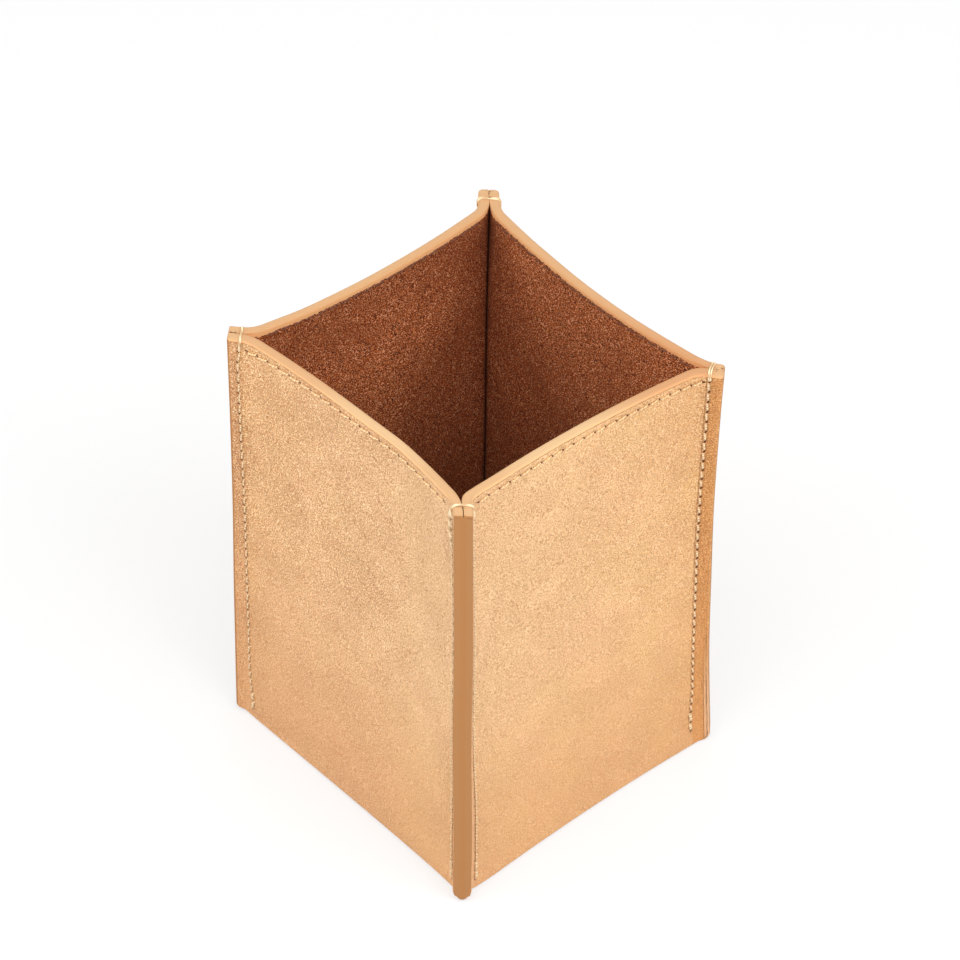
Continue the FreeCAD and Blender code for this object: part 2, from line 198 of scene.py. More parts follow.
def outline(wall, level):
    """Outer face of a wall seen from above at one level, from its left seam tip to its right one.

    Each entry is a point and the direction into the leather, for a wall that faces -Y.
    """
    right, right_bow = half_outline(wall, level, 1)
    left, left_bow = half_outline(wall, level, 0)
    left = [(Vector((-p.x, p.y)), Vector((-n.x, n.y))) for p, n in reversed(left)]
    start, end = left[-1][0], right[0][0]
    chord = (end - start).length
    way_in = Vector((cos(left_bow), sin(left_bow))) * chord
    way_out = Vector((cos(right_bow), -sin(right_bow))) * chord
    bow = []
    for i in range(1, BOW_STEPS):
        s = i / BOW_STEPS
        point = (
            start * (2 * s**3 - 3 * s**2 + 1)
            + way_in * (s**3 - 2 * s**2 + s)
            + end * (3 * s**2 - 2 * s**3)
            + way_out * (s**3 - s**2)
        )
        way = (
            start * (6 * s**2 - 6 * s)
            + way_in * (3 * s**2 - 4 * s + 1)
            + end * (6 * s - 6 * s**2)
            + way_out * (3 * s**2 - 2 * s)
        ).normalized()
        bow.append((point, Vector((-way.y, way.x))))
    return left + bow + right


OUTLINES = {(wall, level): outline(wall, level) for wall in TURN for level in ("foot", "rim")}


class Wall:
    """Finds places on the outer face of a wall, by distance from its middle and height."""

    def __init__(self, name):
        self.name = name
        self.turn = Matrix.Rotation(radians(TURN[name]), 3, "Z")
        self.levels = {}

    def line(self, z):
        """Points, inward directions and distances from the middle, along the wall at a height."""
        key = round(z, 3)
        if key not in self.levels:
            rise = z / HEIGHT
            foot, rim = OUTLINES[self.name, "foot"], OUTLINES[self.name, "rim"]
            points = [a[0].lerp(b[0], rise) for a, b in zip(foot, rim)]
            inward = [a[1].lerp(b[1], rise).normalized() for a, b in zip(foot, rim)]
            run = [0.0]
            for a, b in zip(points, points[1:]):
                run.append(run[-1] + (b - a).length)
            middle = run[len(run) // 2]
            self.levels[key] = (points, inward, [r - middle for r in run])
        return self.levels[key]

    def ends(self, z):
        run = self.line(z)[2]
        return run[0], run[-1]

    def at(self, distance, z, skin=0.0):
        """Point at a depth under the outer face, and the outward direction there."""
        points, inward, run = self.line(z)
        i = next((k for k in range(len(run) - 1) if run[k + 1] >= distance), len(run) - 2)
        s = (distance - run[i]) / (run[i + 1] - run[i])
        point, way = points[i].lerp(points[i + 1], s), inward[i].lerp(inward[i + 1], s).normalized()
        point = self.turn @ Vector((*(point + way * skin), z))
        return point, self.turn @ Vector((-way.x, -way.y, 0))

    def measure(self, place):
        """Distance along the wall of a place on or in it."""
        local = self.turn.transposed() @ Vector(place)
        points, _, run = self.line(min(max(place[2], 0), HEIGHT))
        flat = Vector((local.x, local.y))
        best = None
        for i, (a, b) in enumerate(zip(points, points[1:])):
            edge = b - a
            s = (flat - a).dot(edge) / edge.length_squared
            if i > 0:
                s = max(s, 0)
            if i < len(points) - 2:
                s = min(s, 1)
            gap = (a + edge * s - flat).length
            if best is None or gap < best[0]:
                best = (gap, run[i] + s * edge.length)
        return best[1]


walls = {name: Wall(name) for name in TURN}


def read(table, x):
    """Value at x of a line through the places in a table."""
    for (a, p), (b, q) in zip(table, table[1:]):
        if x <= b:
            break
    return p + (q - p) * (x - a) / (b - a)


def back_read(table, value):
    """Number at which a row's table reaches a value."""
    return read(sorted((q, p) for p, q in table), value)


def ease(x):
    x = min(max(x, 0), 1)
    return x * x * (3 - 2 * x)


def settle(place):
    """Where a place on the ideal cup ends up on the real one, after pressing and sewing by hand."""
    x, y, z = place
    rise = min(max(z / HEIGHT, 0), 1)
    move = Vector((0, 0, 0))

    def between(pair):
        """A shift that is given at the rim and at the foot, at this height."""
        return Vector((*Vector(pair[1]).lerp(Vector(pair[0]), rise), 0))

    def near(cx, cy, reach):
        return exp(-((x - cx) ** 2 + (y - cy) ** 2) / (2 * reach**2))

    def band(middle, reach):
        return exp(-((z - middle) ** 2) / (2 * reach**2))

    for corner, (cx, cy) in CORNER_PLACE.items():
        share = (1 + max(min(x / cx, 1.1), -1.1)) * (1 + max(min(y / cy, 1.1), -1.1)) / 4
        move += between(SHIFT[corner]) * share
        way = Vector((copysign(1, cx), copysign(1, cy))).normalized()
        reach = abs(cx) * abs(way.x) + abs(cy) * abs(way.y)
        lean = ease((way.x * x + way.y * y - reach + 7.5) / 7.5)
        move += between(TWIST[corner]) * lean
        across = Vector((-way.y, way.x, 0))
        aside = across.dot((x - cx, y - cy, 0))
        move -= across * aside * SQUEEZE[corner] * lean * exp(-(aside / 4) ** 2)

    for wall, along, reach, outward in PULL:
        turn = Matrix.Rotation(radians(TURN[wall]), 3, "Z")
        out, side = turn @ Vector((0, -1, 0)), turn @ Vector((1, 0, 0))
        gap = (out.x * x + out.y * y - HALF[wall][1]) / 10
        slip = (side.x * x + side.y * y - along) / reach
        move += out * outward * rise * exp(-gap * gap - slip * slip / 2)

    # the front right seam is drawn in half-way up, and the back left one a little above its middle
    outward = Vector((0.707, -0.707, 0))
    move -= outward * near(39, -41, 13) * SEAM_DIP * 4 * rise * (1 - rise)
    move += outward * near(-39, 41, 11) * (0.35 * band(77, 20) - 0.12 * band(16, 14))
    slow = Vector((x, y, z)) / WAVE_LENGTH
    wave = Vector((noise.noise(slow), noise.noise(slow + Vector((7, 3, 1))), 0)) * WAVE
    return Vector(place) + move + wave * min(z / 30, 1)


# ---- hand tools

def take(*objects):
    """Selects these objects and no others; the first one is the active one."""
    bpy.ops.object.select_all(action="DESELECT")
    for o in objects:
        o.select_set(True)
    bpy.context.view_layer.objects.active = objects[0]


@contextmanager
def editing(o):
    """Edit mode on an object."""
    take(o)
    bpy.ops.object.mode_set(mode="EDIT")
    yield
    bpy.ops.object.mode_set(mode="OBJECT")


def select_all():
    bpy.ops.mesh.select_all(action="SELECT")


def freeze():
    bpy.ops.object.transform_apply(location=True, rotation=True, scale=True)


def named(name):
    o = bpy.context.object
    o.name = o.data.name = name
    return o


def draw_line(points, closed=False):
    """Line of edges through points given in millimetres, drawn by extruding one vertex."""
    bpy.ops.object.select_all(action="DESELECT")
    bpy.ops.mesh.primitive_plane_add(size=MM, location=Vector(points[0]) * MM)
    line = bpy.context.object
    with editing(line):
        bpy.ops.mesh.select_mode(type="VERT")
        bpy.ops.mesh.merge(type="CENTER")
        for a, b in zip(points, points[1:]):
            bpy.ops.mesh.extrude_vertices_move(TRANSFORM_OT_translate={"value": (Vector(b) - Vector(a)) * MM})
        if closed:
            select_all()
            bpy.ops.mesh.edge_face_add()
    freeze()
    return line


def raise_face(height):
    """In edit mode, extrudes what is selected upwards; the height is in metres."""
    bpy.ops.mesh.extrude_region_move(TRANSFORM_OT_translate={"value": (0, 0, height)})


def join(objects, name):
    take(*objects)
    if len(objects) > 1:
        bpy.ops.object.join()
    return named(name)


def pick(o, kind, test):
    """In edit mode, selects the vertices or faces of o that pass a test."""
    bpy.ops.mesh.select_mode(type=kind)
    bpy.ops.mesh.select_all(action="DESELECT")
    bm = bmesh.from_edit_mesh(o.data)
    for part in {"VERT": bm.verts, "FACE": bm.faces}[kind]:
        if test(part):
            part.select_set(True)
    bm.select_flush_mode()
    bmesh.update_edit_mesh(o.data)


def apply_modifier(o, kind, **settings):
    take(o)
    modifier = o.modifiers.new(kind.lower(), kind)
    for key, value in settings.items():
        setattr(modifier, key, value)
    bpy.ops.object.modifier_apply(modifier=modifier.name)


def turn_faces_out(o):
    with editing(o):
        select_all()
        bpy.ops.mesh.normals_make_consistent(inside=False)


def reshape(o, move):
    """Moves vertices from a place in millimetres to the one that move gives; None leaves one alone."""
    for v in o.data.vertices:
        place = move(v.co / MM)
        if place is not None:
            v.co = place * MM
    o.data.update()


def even_shading(o, degrees=50):
    """Smooth shading that leaves the broad faces flat beside a rounded edge."""
    take(o)
    bpy.ops.object.shade_smooth_by_angle(angle=radians(degrees))
    apply_modifier(o, "WEIGHTED_NORMAL", keep_sharp=True)


# ---- sheets of leather and suede

def sheet_line(wall, level, skin, foot_z):
    """Edge of a sheet at the foot or the rim, in millimetres."""
    w = walls[wall]
    z = HEIGHT if level == "rim" else 0.0
    points, inward, run = w.line(z)
    line = []
    for point, way, distance in zip(points, inward, run):
        lift = foot_z(min(distance - run[0], run[-1] - distance)) if level == "foot" else 0.0
        line.append(w.turn @ Vector((*(point + way * skin), z + lift)))
    return line


def make_sheet(wall, skin, thickness, foot_z):
    """A wall's sheet: its foot line and rim line are drawn, bridged, and given a thickness."""
    sheet = join([draw_line(sheet_line(wall, level, skin, foot_z)) for level in ("foot", "rim")], "sheet")
    outward = walls[wall].turn @ Vector((0, -1, 0))
    with editing(sheet):
        bpy.ops.mesh.select_mode(type="EDGE")
        select_all()
        bpy.ops.mesh.bridge_edge_loops(number_cuts=SHEET_ROWS, interpolation="LINEAR")
        select_all()
        bpy.ops.mesh.normals_make_consistent(inside=False)
        bm = bmesh.from_edit_mesh(sheet.data)
        if sum(f.normal.dot(outward) * f.calc_area() for f in bm.faces) < 0:
            bpy.ops.mesh.flip_normals()
    apply_modifier(sheet, "SOLIDIFY", thickness=thickness * MM, offset=-1, use_even_offset=True)
    trim_level(sheet, HEIGHT)
    return sheet


def trim_level(sheet, z):
    """Trims the edge of a sheet level."""
    with editing(sheet):
        pick(sheet, "VERT", lambda v: abs(v.co.z - z * MM) < 0.4 * MM)
        bpy.ops.transform.resize(value=(1, 1, 0), center_override=(0, 0, z * MM))


def cut_rows(sheet):
    """Cuts level lines round a sheet near its foot and its rim, so that its corners can be shaped."""
    with editing(sheet):
        for z in (0.8, 1.25, 1.8, 2.4, 3.4, 5.0, HEIGHT - 1.1):
            select_all()
            bpy.ops.mesh.bisect(plane_co=(0, 0, z * MM), plane_no=(0, 0, 1))


def cut_tongue(sheet, wall):
    """Cuts upright lines through the front seam's end, so that it can be filed round."""
    w = walls[wall]
    tips = [tip for tip, corner in zip(w.ends(0), ENDS[wall]) if corner == "front_left"]
    with editing(sheet):
        for tip in tips:
            for depth in (0.3, 0.6, 0.9, 1.2, 1.75, 2.0, 2.2):
                middle, out = w.at(tip, 0.0, depth)
                pick(sheet, "FACE", lambda f: (f.calc_center_median() / MM - middle).length < 5.5)
                bpy.ops.mesh.bisect(plane_co=middle * MM, plane_no=out)


Spot = namedtuple("Spot", "along side corner from_tip depth out z")


def spot(wall, place):
    """Where a place lies in a wall.

    along: distance from the wall's middle; side: its nearer end, 0 left and 1 right; corner: that end's
    name; from_tip: distance from that end's tip; depth: under the outer face; out: the outward
    direction there; z: the height, kept within the wall.
    """
    w = walls[wall]
    z = min(max(place.z, 0), HEIGHT)
    along = w.measure(place)
    low, high = w.ends(z)
    side = 0 if along - low < high - along else 1
    point, out = w.at(along, z)
    depth = (point - Vector((place.x, place.y, z))).dot(out)
    return Spot(along, side, ENDS[wall][side], min(along - low, high - along), depth, out, z)


def nearest_corner(place):
    return min(PINCH, key=lambda c: (Vector(CORNER_PLACE[c]) - Vector(place[:2])).length)


def round_edges(sheet, radius_of, widest=1.6):
    """Rounds the sheet's sharp edges by bevel weight; radius_of gives the radius at a place."""
    bm = bmesh.new()
    bm.from_mesh(sheet.data)
    weight = bm.edges.layers.float.new("bevel_weight_edge")
    for edge in bm.edges:
        if len(edge.link_faces) == 2 and edge.calc_face_angle() > radians(50):
            place = (edge.verts[0].co + edge.verts[1].co) / 2
            edge[weight] = radius_of(place / MM) / widest
    bm.to_mesh(sheet.data)
    bm.free()
    apply_modifier(
        sheet, "BEVEL", limit_method="WEIGHT", width=widest * MM, segments=4, use_clamp_overlap=False)


def rounded(a, b, ra, rb):
    """Moves a place in a square corner, ra by rb, into the quarter circle that fits the corner."""
    u, v = max(a / ra, 0), max(b / rb, 0)
    shrink = max(u, v) / hypot(u, v) if u and v else 1
    return a * shrink if a > 0 else a, b * shrink if b > 0 else b


def file_foot_corners(sheet, wall):
    """Files the lower corner of each flange round, and the front seam's end into a tongue."""
    def move(place):
        if place.z > FILED_UP_TO:
            return None
        here = spot(wall, place)
        from_tip = max(here.from_tip, 0)
        reach, rise = FOOT_SLANT.get(here.corner, (1, 0))
        foot = rise * max(1 - from_tip / reach, 0)
        place.z += foot * max(1 - place.z / 4, 0)
        ra, rb = FOOT_CORNER[here.corner]
        a, b = ra - from_tip, rb - max(place.z - foot, 0)
        if a > 0 and b > 0:
            inward, down = rounded(a, b, ra, rb)
            side = 1 if here.side else -1
            way = walls[wall].turn @ Vector((side * cos(MITRE), -sin(MITRE), 0))
            place -= way * (a - inward)
            place.z += b - down
        ra, rb = FOOT_TONGUE
        if here.corner == "front_left" and place.z < rb:
            fade = 1 - ease((here.from_tip - 2.0) / 2.5)
            across, down = rounded(WALL - here.depth, rb - max(place.z, 0), ra, rb)
            place -= here.out * (WALL - here.depth - across) * fade
            place.z += (rb - max(place.z, 0) - down) * fade
        return place
    reshape(sheet, move)


def write_plan(sheet, wall):
    """Stores where each corner of a sheet lies on it, for the marks that follow its edges and rows.

    plan: along and up; border: distance to the nearer side edge and to the rim; hem: number of the
    machine row's hole, counted along the wall, and the distance upwards from the row; seam: the same
    for the hand-sewn row, counted downwards, and the distance inwards from it; fold: distance from
    where the wall leaves its seam; last: the last numbers of the two rows. Lengths in metres.
    """
    layers = sheet.data.uv_layers
    for name in [layer.name for layer in layers]:
        layers.remove(layers[name])
    stores = []
    for v in sheet.data.vertices:
        here = spot(wall, v.co / MM)
        along, z, corner, from_side = here.along, here.z, here.corner, here.from_tip
        rim, foot = PINCH[corner]
        stores.append((
            (along * MM, z * MM),
            (from_side * MM, (HEIGHT - z) * MM),
            (back_read(HEM_ROW[wall], along), (z - HEIGHT + read(HEM_LINE[wall], along)) * MM),
            (back_read(SEAM_ROW[corner], z), (from_side - read(SEAM_LINE[corner], z)) * MM),
            ((from_side - foot - (rim - foot) * z / HEIGHT) * MM, 0),
            (HEM_ROW[wall][-1][0], SEAM_ROW[corner][-1][0]),
        ))
    store(sheet.data, stores)


def write_base_plan(sheet):
    """The same stores for a level sheet, which has no edge or row near it."""
    rest = (0.02, HEIGHT * MM), (-9, 0), (-9, 0.02), (0.02, 0), (1, 1)
    store(sheet.data, [((v.co.x, v.co.y), *rest) for v in sheet.data.vertices])


def store(mesh, stores):
    for which, name in enumerate(("plan", "border", "hem", "seam", "fold", "last")):
        layer = mesh.uv_layers.new(name=name)
        for loop in mesh.loops:
            layer.data[loop.index].uv = stores[loop.vertex_index][which]


# ---- leather shell

def leather_rounding(wall):
    def radius(place):
        here, at_rim = spot(wall, place), place.z > HEIGHT - 0.5
        from_tip, depth = here.from_tip, here.depth
        upright = TIP_ROUNDING[nearest_corner(place)][0]
        tip = min(upright * 0.9, 0.6)
        if at_rim and from_tip < 1.6 and depth < LEATHER - 0.1:
            return tip if from_tip < 0.3 or depth > 0.1 else tip + (0.45 - tip) * ease(from_tip / 1.6)
        if depth > LEATHER / 2:
            return 0.0
        if at_rim:
            return 0.45 + 0.35 * ease((from_tip - 3) / 4)
        if place.z < 0.5:
            return min(tip, 0.4) + (FOLD - min(tip, 0.4)) * ease((from_tip - 1.5) / 3)
        return upright if from_tip < 0.2 else 0.0
    return radius


def make_shell():
    """Four walls that fold up from one base."""
    parts, ring = [], []
    for wall, w in walls.items():
        sheet = make_sheet(wall, 0.0, LEATHER, lambda from_tip: 0.0)
        trim_level(sheet, 0)
        round_edges(sheet, leather_rounding(wall))
        cut_rows(sheet)
        cut_tongue(sheet, wall)
        file_foot_corners(sheet, wall)
        write_plan(sheet, wall)
        parts.append(sheet)
        points, inward, run = w.line(0)
        skipped = 1 + len(FLANGE_STEPS) + BEND_STEPS // 2
        for p, n in list(zip(points, inward))[skipped:len(run) - skipped]:
            ring.append(w.turn @ Vector((*(p + n * (LEATHER * 0.6)), 0)))
    base = draw_line(ring, closed=True)
    with editing(base):
        select_all()
        raise_face(LEATHER * MM)
    turn_faces_out(base)
    for v in base.data.vertices:
        v.co.z += 0.01 * MM if v.co.z < LEATHER / 2 * MM else 0
    write_base_plan(base)
    shell = join([*parts, base], "leather_blank")
    reshape(shell, settle)
    even_shading(shell)
    return shell


# ---- suede linings

def lining_foot(from_tip):
    """The lining stands on the leather base, and its flanges reach down past the base's corners."""
    return LEATHER * ease((from_tip - 1.6) / 1.2)


def lining_rounding(wall):
    def radius(place):
        here, at_rim = spot(wall, place), place.z > HEIGHT - 0.5
        outer, inner = TIP_ROUNDING[nearest_corner(place)]
        if at_rim and here.from_tip < 0.05:
            return min(outer * 0.9, 0.6)
        if here.depth < LEATHER + SUEDE / 2:
            return 0.0
        if at_rim:
            pinch = PINCH[nearest_corner(place)][0]
            return 0.1 + 0.6 * ease((here.from_tip - pinch - 1) / 3)
        return inner if here.from_tip < 0.2 and place.z > 0.5 else 0.0
    return radius


def part_linings(sheet, wall):
    """Presses the two linings of each seam together, and opens their joint a little towards the rim."""
    def move(place):
        here, corner = spot(wall, place), nearest_corner(place)
        reach = PINCH[corner][0] + 1
        if here.depth <= WALL - 0.2 or here.from_tip >= reach:
            return None
        fade = ease((here.z - HEIGHT + 9) / 9)
        gap = JOINT[corner] * fade - PRESSED * (1 - fade)
        return place + here.out * gap * ease(reach - here.from_tip)
    reshape(sheet, move)


def close_front_seam(sheet, wall):
    """Presses the two linings together at the front seam's tip, where paint has filled the joint."""
    def move(place):
        if place.z > HEIGHT - 1.0 or nearest_corner(place) != "front_left":
            return None
        here = spot(wall, place)
        if here.from_tip >= 0.6 or here.depth <= WALL - 0.2:
            return None
        return place - here.out * (WALL - here.depth)
    reshape(sheet, move)


def make_lining(wall):
    sheet = make_sheet(wall, LEATHER, SUEDE - LINING_GAP, lining_foot)
    round_edges(sheet, lining_rounding(wall), widest=0.8)
    cut_rows(sheet)
    cut_tongue(sheet, wall)
    part_linings(sheet, wall)
    close_front_seam(sheet, wall)
    file_foot_corners(sheet, wall)
    write_plan(sheet, wall)
    reshape(sheet, settle)
    take(sheet)
    lining = named(f"suede_{wall}")
    even_shading(lining)
    return lining


def make_base_lining():
    """Suede sheet laid on the board, cut a little small and worn soft round its edge."""
    low, high = (Vector(c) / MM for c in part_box("base_lining"))
    size = (high - low) * MM
    bpy.ops.object.select_all(action="DESELECT")
    bpy.ops.mesh.primitive_plane_add(size=1, location=(0, 0, low.z * MM))
    sheet = named("suede_base")
    with editing(sheet):
        select_all()
        bpy.ops.transform.resize(value=(size.x, size.y, 1), center_override=(0, 0, low.z * MM))
        bpy.ops.mesh.bevel(offset=1.2 * MM, segments=3, affect="VERTICES")
        select_all()
        raise_face(size.z)
    turn_faces_out(sheet)
    freeze()
    apply_modifier(sheet, "BEVEL", width=0.25 * MM, segments=3, limit_method="ANGLE", angle_limit=radians(60))
    write_base_plan(sheet)
    even_shading(sheet)
    return sheet


# ---- thread

def draw_thread(points, radius, steps=4):
    """Round thread along points in millimetres."""
    data = bpy.data.curves.new("thread", "CURVE")
    data.dimensions = "3D"
    spline = data.splines.new("NURBS")
    spline.points.add(len(points) - 1)
    for node, place in zip(spline.points, points):
        node.co = (*(Vector(place) * MM), 1)
    spline.order_u = 3
    spline.use_endpoint_u = True
    spline.resolution_u = steps
    data.bevel_depth = radius * MM
    data.bevel_resolution = 1
    data.use_fill_caps = True
    thread = bpy.data.objects.new("thread", data)
    bpy.context.collection.objects.link(thread)
    take(thread)
    bpy.ops.object.convert(target="MESH")
    return bpy.context.object


def model_stitch(radius):
    """One stitch along X, about its middle: it rises from one hole and dips into the next."""
    half = PITCH / 2
    side = [(half * 0.5, 0, radius), (half * 0.93, 0, radius * 0.6), (half, 0, -0.35)]
    return draw_thread([(-x, y, z) for x, y, z in reversed(side)] + side, radius, steps=2)


def lay_stitch(model, start, end, out):
    """Copy of the modelled stitch, turned, stretched and moved to lie from one hole to the next."""
    copy = model.copy()
    copy.data = model.data.copy()
    bpy.context.collection.objects.link(copy)
    along = end - start
    x = along.normalized()
    z = (out - x * out.dot(x)).normalized()
    turn = Matrix((x, z.cross(x), z)).transposed().to_4x4()
    stretch = Matrix.Diagonal((along.length / PITCH, 1, 1, 1))
    copy.data.transform(Matrix.Translation((start + end) / 2 * MM) @ turn @ stretch)
    return copy


def on_wall(wall, distance, z, skin=0.0, off=0.0):
    """Place on the settled wall, and the direction that a thread there stands off it."""
    point, out = walls[wall].at(distance, z, skin)
    if skin > 0:
        out = -out
    return settle(point) + out * off, out


def row_of_holes(wall, skin):
    """Distances of the machine row's holes from the middle of the wall."""
    row = HEM_ROW[wall]
    low, high = walls[wall].ends(HEIGHT - 2.4)
    inset = [PINCH[c][0] + 2.2 if skin > 0 else 0 for c in ENDS[wall]]
    holes = [read(row, i) for i in range(row[-1][0] + 1)]
    return [hole for hole in holes if low + inset[0] < hole < high - inset[1]]


def sew_rim(wall, model, skin, name):
    """Machine row under the rim: each stitch leaves a slanted slit low and enters the next one high."""
    row, stitches = row_of_holes(wall, skin), []
    rng = random.Random(name)
    for a, b in zip(row, row[1:]):
        low, high = -0.26 + rng.uniform(-0.05, 0.05), 0.16 + rng.uniform(-0.05, 0.05)
        if skin > 0:
            low, high = high, low
        start_drop, end_drop = (INNER_HEM_DROP if skin > 0 else read(HEM_LINE[wall], x) for x in (a, b))
        start, out = on_wall(wall, a + HEM_INSET[0], HEIGHT - start_drop + low, skin)
        end, _ = on_wall(wall, b - HEM_INSET[1], HEIGHT - end_drop + high, skin)
        stitches.append(lay_stitch(model, start, end, out))
    return join(stitches, name)


def sew_corner(corner, model):
    """Corner seam: a row down each outer face, doubled at its foot, and loops over the rim."""
    first = next(w for w in TURN if ENDS[w][1] == corner)
    second = next(w for w in TURN if ENDS[w][0] == corner)
    row, inset = SEAM_ROW[corner], STITCH_INSET[corner]
    (_, top), (last, _) = row[0], row[-1]
    rng = random.Random(corner)
    parts = []

    def place(wall, z, back=0.0, off=0.0):
        low, high = walls[wall].ends(min(z, HEIGHT))
        margin = read(SEAM_LINE[corner], z) + back
        return on_wall(wall, high - margin if wall == first else low + margin, z, off=off)

    def strand(radius, *stations):
        """Thread through stations on the first wall: height, distance in from the row, and off the wall."""
        parts.append(draw_thread([place(first, *station)[0] for station in stations], radius))

    for wall in (first, second):
        for i in range(last):
            a, b = read(row, i), read(row, i + 1)
            doubled = i >= last - 2 or (corner == "front_left" and wall == first and i < 3)
            for shift in (-0.13, 0.17) if doubled else (0.0,):
                sway = rng.uniform(-0.05, 0.05)
                start, out = place(wall, a - inset, shift + sway + 0.20)
                end, _ = place(wall, b + inset, shift + sway + 0.02)
                parts.append(lay_stitch(model, start, end, out))

    for near, far, r in LOOPS[corner]:
        path = []
        for wall, order, back in ((first, 1, near), (second, -1, far)):
            stations = (
                (top + 0.05, back * 0.3, -0.3), (top + 0.4, back * 0.5, r * 0.7),
                (HEIGHT - 1.3, back * 0.9, r * 0.8), (HEIGHT - 0.4, back, r * 0.55), (HEIGHT, back, -0.5))
            side = [place(wall, *station)[0] for station in stations]
            side[-1].z = HEIGHT + r * 0.7
            path += side[::order]
        middle = (path[4] + path[5]) / 2
        middle.z = HEIGHT + r * 0.8
        path.insert(5, middle)
        parts.append(draw_thread(path, r))
    if corner == "front_left":
        strand(0.36, (HEIGHT - 0.7, 0.1, 0.3), (top + 0.9, 0.2, 0.6), (top - 1.5, 0.3, 0.55),
               (top - 5.0, 0.2, 0.45), (top - 7.5, 0.2, 0.25), (top - 8.2, 0.2, -0.4))
        for side, end in ((0.5, 1.05), (0.3, 0.8)):
            strand(0.12, (top + 1.5, 0.1, 0.3), (top + 1.2, side, 0.6), (top + 0.8, side * 2, end))
    return join(parts, f"corner_thread_{corner}")


# ---- nodes

def colour(r, g, b):
    """Colour given as it looks on a screen, 0 to 1, as the linear colour that a shader takes."""
    return tuple(c / 12.92 if c <= 0.04045 else ((c + 0.055) / 1.055) ** 2.4 for c in (r, g, b)) + (1,)


class Value:
    """Output of a node. Arithmetic with it lays out the nodes that work out the result."""

    def __init__(self, bench, socket):
        self.bench, self.socket = bench, socket

    def __rsub__(self, other):
        return self.bench.maths("SUBTRACT", other, self)

    def __abs__(self):
        return self.bench.maths("ABSOLUTE", self)

    def step(self, low, high, to_low=0.0, to_high=1.0):
        """Smooth step of the value from low to high."""
        limits = {"Value": self, "From Min": low, "From Max": high, "To Min": to_low, "To Max": to_high}
        return self.bench.value("ShaderNodeMapRange", limits, interpolation_type="SMOOTHSTEP")

    def mix(self, amount, other, kind="MIX"):
        """Blend of this colour with another."""
        return self.bench.blend(amount, self, other, kind)


for way, operation in (
        ("__add__", "ADD"), ("__sub__", "SUBTRACT"), ("__mul__", "MULTIPLY"), ("__truediv__", "DIVIDE"),
        ("most", "MAXIMUM")):
    setattr(Value, way, lambda self, other, operation=operation: self.bench.maths(operation, self, other))


class Bench:
    """Lays out nodes in a material or a world."""

    def __init__(self, tree):
        self.tree = tree

    def node(self, kind, inputs=None, **settings):
        node = self.tree.nodes.new(kind)
        for key, value in settings.items():
            setattr(node, key, value)
        self.feed(node, inputs or {})
        return node

    def feed(self, node, inputs):
        """Links each of these inputs to a value, or sets it to a constant."""
        for key, value in inputs.items():
            if isinstance(value, Value):
                self.tree.links.new(value.socket, node.inputs[key])
            else:
                node.inputs[key].default_value = value

    def value(self, kind, inputs=None, output=0, **settings):
        return Value(self, self.node(kind, inputs, **settings).outputs[output])

    def maths(self, operation, a, b=0.0):
        return self.value("ShaderNodeMath", {0: a, 1: b}, operation=operation)

    def blend(self, amount, a, b, kind="MIX"):
        """Blend of two colours; a constant one is given as it looks on a screen."""
        a, b = (colour(*c) if isinstance(c, tuple) else c for c in (a, b))
        return self.value(
            "ShaderNodeMix", {"Factor": amount, 6: a, 7: b}, output=2, data_type="RGBA", blend_type=kind)

    def noise(self, vector, scale, detail=2.0, roughness=0.5, distortion=0.0, output="Fac"):
        inputs = {"Vector": vector, "Scale": scale, "Detail": detail, "Roughness": roughness,
                  "Distortion": distortion}
        return self.value("ShaderNodeTexNoise", inputs, output)

    def stretch(self, vector, x, y, z):
        return self.value("ShaderNodeMapping", {"Vector": vector, "Scale": (x, y, z)})

    def place(self):
        return self.value("ShaderNodeTexCoord", output="Object")

    def parts(self, vector):
        """First two parts of a vector."""
        outputs = self.node("ShaderNodeSeparateXYZ", {0: vector}).outputs
        return Value(self, outputs[0]), Value(self, outputs[1])

    def plan(self, name, scale_a=1.0, scale_b=1.0):
        """Both numbers in one store of a sheet's plan, each times a scale."""
        a, b = self.parts(self.value("ShaderNodeUVMap", uv_map=name))
        return (a if scale_a == 1 else a * scale_a), (b if scale_b == 1 else b * scale_b)


class Surface(Bench):
    """Bench of a new material, with its shader."""

    def __init__(self, name):
        self.material = bpy.data.materials.new(name)
        self.material.use_nodes = True
        super().__init__(self.material.node_tree)
        self.tree.nodes.clear()
        self.shader = self.node("ShaderNodeBsdfPrincipled")
        self.node("ShaderNodeOutputMaterial", {"Surface": Value(self, self.shader.outputs[0])})

    def finish(self, inputs, bump=None):
        """Feeds the shader; bump is a height, its strength and its distance in metres."""
        if bump:
            inputs["Normal"] = self.value("ShaderNodeBump", dict(zip(("Height", "Strength", "Distance"), bump)))
        self.feed(self.shader, inputs)
        return self.material


def slit_row(bench, number, last, across, slant, half_length, half_width):
    """Row of slanted awl slits. number counts the holes along the row, across is millimetres off its line."""
    x = (number - bench.maths("ROUND", number)) * PITCH
    inside = bench.maths("GREATER_THAN", number, -0.45) * bench.maths("LESS_THAN", number, last + 0.45)
    a = (x * cos(slant) + across * sin(slant)) / half_length
    b = (across * cos(slant) - x * sin(slant)) / half_width
    reach = bench.maths("SQRT", a * a + b * b)
    groove = abs(across).step(0.75, 0.2)
    return reach.step(1.2, 0.85) * inside, reach.step(3.0, 0.9) * inside, groove * inside


